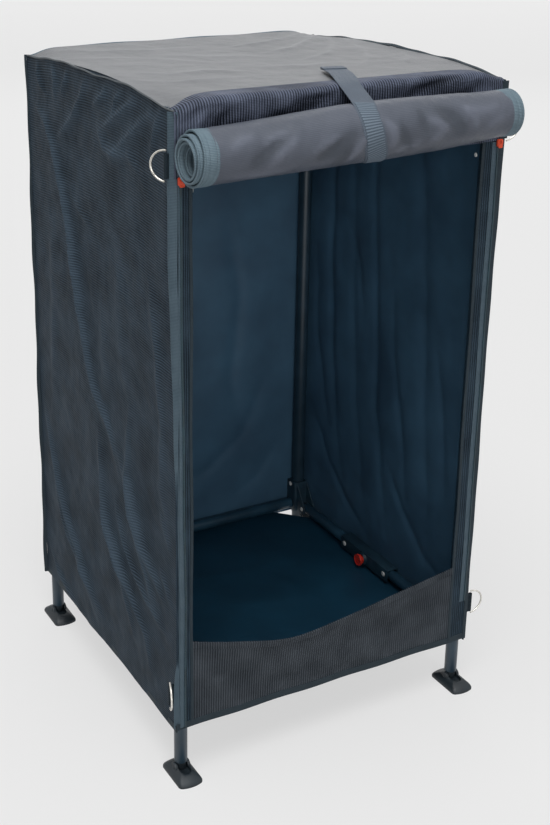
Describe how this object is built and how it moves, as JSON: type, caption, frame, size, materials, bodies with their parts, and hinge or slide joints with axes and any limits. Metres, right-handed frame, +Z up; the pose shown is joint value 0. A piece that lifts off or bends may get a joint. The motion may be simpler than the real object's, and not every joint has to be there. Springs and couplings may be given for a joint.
{
  "type": "camping cupboard",
  "caption": "Folding camping cupboard: tube frame with folding side rails inside a sewn cloth cover, door rolled up over the open front.",
  "frame": {"origin": "middle of the bounding box on the ground", "axes": "+X to the right seen from the front, +Y to the back, +Z up"},
  "size_m": [0.6468, 0.6822, 1.1089],
  "materials": {
    "tube": "dark grey powder coat on steel tube",
    "moulded": "black moulded nylon",
    "button": "red moulded plastic",
    "ribbed": "dark grey ribbed polyester",
    "roof": "smooth grey coated polyester",
    "lining": "dark smooth cloth",
    "door": "smooth coated door cloth with a bound edge",
    "webbing": "woven webbing",
    "steel": "bright nickel plate",
    "zip": "orange red zip pull"
  },
  "bodies": {
    "front_frame": {"front_left_leg": "tube", "front_left_leg_tip": "moulded", "front_left_bottom_bracket": "moulded", "front_left_top_bracket": "moulded", "front_right_leg": "tube", "front_right_leg_tip": "moulded", "front_right_bottom_bracket": "moulded", "front_right_top_bracket": "moulded", "front_bottom_rail": "tube", "front_top_rail": "tube", "roof_panel": "roof", "left_side_panel": "ribbed", "right_side_panel": "ribbed", "floor_panel": "lining", "front_panel": "ribbed", "kick_panel": "ribbed", "rolled_door": "door", "roll_strap": "webbing", "left_lower_ring_tab": "webbing", "left_upper_ring_tab": "webbing", "right_lower_ring_tab": "webbing", "right_upper_ring_tab": "webbing"},
    "rear_frame": {"rear_left_leg": "tube", "rear_left_leg_tip": "moulded", "rear_left_bottom_bracket": "moulded", "rear_left_top_bracket": "moulded", "rear_right_leg": "tube", "rear_right_leg_tip": "moulded", "rear_right_bottom_bracket": "moulded", "rear_right_top_bracket": "moulded", "rear_bottom_rail": "tube", "rear_top_rail": "tube", "back_panel": "lining"},
    "right_bottom_front_half": {"right_bottom_front_half_rail": "tube"},
    "right_bottom_hub": {"right_bottom_hub": "moulded"},
    "right_bottom_rear_half": {"right_bottom_rear_half_rail": "tube"},
    "right_bottom_button": {"right_bottom_lock_button": "button"},
    "left_bottom_front_half": {"left_bottom_front_half_rail": "tube"},
    "left_bottom_hub": {"left_bottom_hub": "moulded"},
    "left_bottom_rear_half": {"left_bottom_rear_half_rail": "tube"},
    "left_bottom_button": {"left_bottom_lock_button": "button"},
    "right_top_front_half": {"right_top_front_half_rail": "tube"},
    "right_top_hub": {"right_top_hub": "moulded"},
    "right_top_rear_half": {"right_top_rear_half_rail": "tube"},
    "right_top_button": {"right_top_lock_button": "button"},
    "left_top_front_half": {"left_top_front_half_rail": "tube"},
    "left_top_hub": {"left_top_hub": "moulded"},
    "left_top_rear_half": {"left_top_rear_half_rail": "tube"},
    "left_top_button": {"left_top_lock_button": "button"},
    "front_left_foot": {"front_left_foot": "moulded"},
    "front_right_foot": {"front_right_foot": "moulded"},
    "rear_left_foot": {"rear_left_foot": "moulded"},
    "rear_right_foot": {"rear_right_foot": "moulded"},
    "left_lower_ring": {"left_lower_ring": "steel"},
    "left_upper_ring": {"left_upper_ring": "steel"},
    "right_lower_ring": {"right_lower_ring": "steel"},
    "right_upper_ring": {"right_upper_ring": "steel"},
    "left_zip_pull": {"left_zip_pull": "zip"},
    "right_zip_pull": {"right_zip_pull": "zip"}
  },
  "joints": [
    {"name": "fold", "type": "hinge", "parent": "front_frame", "child": "right_bottom_front_half", "pos_m": [0.2678, -0.19334, 0.12], "axis": [1, 0, 0], "range_deg": [0, 88], "deforming": ["roof_panel", "left_side_panel", "right_side_panel", "floor_panel"]},
    {"name": "right_bottom_hub_front_bolt", "type": "hinge", "parent": "right_bottom_front_half", "child": "right_bottom_hub", "pos_m": [0.2678, -0.02834, 0.12], "axis": [1, 0, 0], "range_deg": [-88, 0]},
    {"name": "right_bottom_hub_rear_bolt", "type": "hinge", "parent": "right_bottom_hub", "child": "right_bottom_rear_half", "pos_m": [0.2678, 0.10666, 0.12], "axis": [1, 0, 0], "range_deg": [-88, 0]},
    {"name": "rear_frame_pivot", "type": "hinge", "parent": "right_bottom_rear_half", "child": "rear_frame", "pos_m": [0.2678, 0.27166, 0.12], "axis": [1, 0, 0], "range_deg": [0, 88]},
    {"name": "right_bottom_button_press", "type": "slide", "parent": "right_bottom_hub", "child": "right_bottom_button", "axis": [1, 0, 0], "range_m": [0, 0.004], "stiffness_N_per_m": 600, "springref_m": -0.002},
    {"name": "left_bottom_front_pivot", "type": "hinge", "parent": "front_frame", "child": "left_bottom_front_half", "pos_m": [-0.2842, -0.19334, 0.12], "axis": [1, 0, 0], "range_deg": [0, 88]},
    {"name": "left_bottom_hub_front_bolt", "type": "hinge", "parent": "left_bottom_front_half", "child": "left_bottom_hub", "pos_m": [-0.2842, -0.02834, 0.12], "axis": [1, 0, 0], "range_deg": [-88, 0]},
    {"name": "left_bottom_hub_rear_bolt", "type": "hinge", "parent": "left_bottom_hub", "child": "left_bottom_rear_half", "pos_m": [-0.2842, 0.10666, 0.12], "axis": [1, 0, 0], "range_deg": [-88, 0]},
    {"name": "left_bottom_button_press", "type": "slide", "parent": "left_bottom_hub", "child": "left_bottom_button", "axis": [-1, 0, 0], "range_m": [0, 0.004], "stiffness_N_per_m": 600, "springref_m": -0.002},
    {"name": "right_top_front_pivot", "type": "hinge", "parent": "front_frame", "child": "right_top_front_half", "pos_m": [0.2678, -0.19334, 1.0932], "axis": [1, 0, 0], "range_deg": [-88, 0]},
    {"name": "right_top_hub_front_bolt", "type": "hinge", "parent": "right_top_front_half", "child": "right_top_hub", "pos_m": [0.2678, -0.02834, 1.0932], "axis": [1, 0, 0], "range_deg": [0, 88]},
    {"name": "right_top_hub_rear_bolt", "type": "hinge", "parent": "right_top_hub", "child": "right_top_rear_half", "pos_m": [0.2678, 0.10666, 1.0932], "axis": [1, 0, 0], "range_deg": [0, 88]},
    {"name": "right_top_button_press", "type": "slide", "parent": "right_top_hub", "child": "right_top_button", "axis": [1, 0, 0], "range_m": [0, 0.004], "stiffness_N_per_m": 600, "springref_m": -0.002},
    {"name": "left_top_front_pivot", "type": "hinge", "parent": "front_frame", "child": "left_top_front_half", "pos_m": [-0.2842, -0.19334, 1.0932], "axis": [1, 0, 0], "range_deg": [-88, 0]},
    {"name": "left_top_hub_front_bolt", "type": "hinge", "parent": "left_top_front_half", "child": "left_top_hub", "pos_m": [-0.2842, -0.02834, 1.0932], "axis": [1, 0, 0], "range_deg": [0, 88]},
    {"name": "left_top_hub_rear_bolt", "type": "hinge", "parent": "left_top_hub", "child": "left_top_rear_half", "pos_m": [-0.2842, 0.10666, 1.0932], "axis": [1, 0, 0], "range_deg": [0, 88]},
    {"name": "left_top_button_press", "type": "slide", "parent": "left_top_hub", "child": "left_top_button", "axis": [-1, 0, 0], "range_m": [0, 0.004], "stiffness_N_per_m": 600, "springref_m": -0.002},
    {"name": "front_left_foot_tilt", "type": "hinge", "parent": "front_frame", "child": "front_left_foot", "pos_m": [-0.2842, -0.23134, 0.013], "axis": [1, 0, 0], "range_deg": [-20, 20]},
    {"name": "front_right_foot_tilt", "type": "hinge", "parent": "front_frame", "child": "front_right_foot", "pos_m": [0.2678, -0.23134, 0.013], "axis": [1, 0, 0], "range_deg": [-20, 20]},
    {"name": "rear_left_foot_tilt", "type": "hinge", "parent": "rear_frame", "child": "rear_left_foot", "pos_m": [-0.2842, 0.30966, 0.013], "axis": [1, 0, 0], "range_deg": [-20, 20]},
    {"name": "rear_right_foot_tilt", "type": "hinge", "parent": "rear_frame", "child": "rear_right_foot", "pos_m": [0.2678, 0.30966, 0.013], "axis": [1, 0, 0], "range_deg": [-20, 20]},
    {"name": "left_lower_ring_swing", "type": "hinge", "parent": "front_frame", "child": "left_lower_ring", "pos_m": [-0.3058, -0.23714, 0.16], "axis": [0, 0, -1], "range_deg": [-10, 150]},
    {"name": "left_upper_ring_swing", "type": "hinge", "parent": "front_frame", "child": "left_upper_ring", "pos_m": [-0.3058, -0.23714, 1.026], "axis": [0, 0, -1], "range_deg": [-130, 30]},
    {"name": "right_lower_ring_swing", "type": "hinge", "parent": "front_frame", "child": "right_lower_ring", "pos_m": [0.2969, -0.23714, 0.16], "axis": [0, 0, 1], "range_deg": [-80, 80]},
    {"name": "right_upper_ring_swing", "type": "hinge", "parent": "front_frame", "child": "right_upper_ring", "pos_m": [0.2969, -0.23714, 1.026], "axis": [0, 0, 1], "range_deg": [-80, 80]},
    {"name": "left_zip_pull_slide", "type": "slide", "parent": "front_frame", "child": "left_zip_pull", "axis": [0, 0, -1], "range_m": [0, 0.815]},
    {"name": "right_zip_pull_slide", "type": "slide", "parent": "front_frame", "child": "right_zip_pull", "axis": [0, 0, -1], "range_m": [0, 0.815]}
  ],
  "couplings": [
    {"joint": "right_bottom_hub_front_bolt", "follows": "fold", "ratio": -1},
    {"joint": "right_bottom_hub_rear_bolt", "follows": "fold", "ratio": -1},
    {"joint": "rear_frame_pivot", "follows": "fold", "ratio": 1},
    {"joint": "left_bottom_front_pivot", "follows": "fold", "ratio": 1},
    {"joint": "left_bottom_hub_front_bolt", "follows": "fold", "ratio": -1},
    {"joint": "left_bottom_hub_rear_bolt", "follows": "fold", "ratio": -1},
    {"joint": "right_top_front_pivot", "follows": "fold", "ratio": -1},
    {"joint": "right_top_hub_front_bolt", "follows": "fold", "ratio": 1},
    {"joint": "right_top_hub_rear_bolt", "follows": "fold", "ratio": 1},
    {"joint": "left_top_front_pivot", "follows": "fold", "ratio": -1},
    {"joint": "left_top_hub_front_bolt", "follows": "fold", "ratio": 1},
    {"joint": "left_top_hub_rear_bolt", "follows": "fold", "ratio": 1}
  ]
}
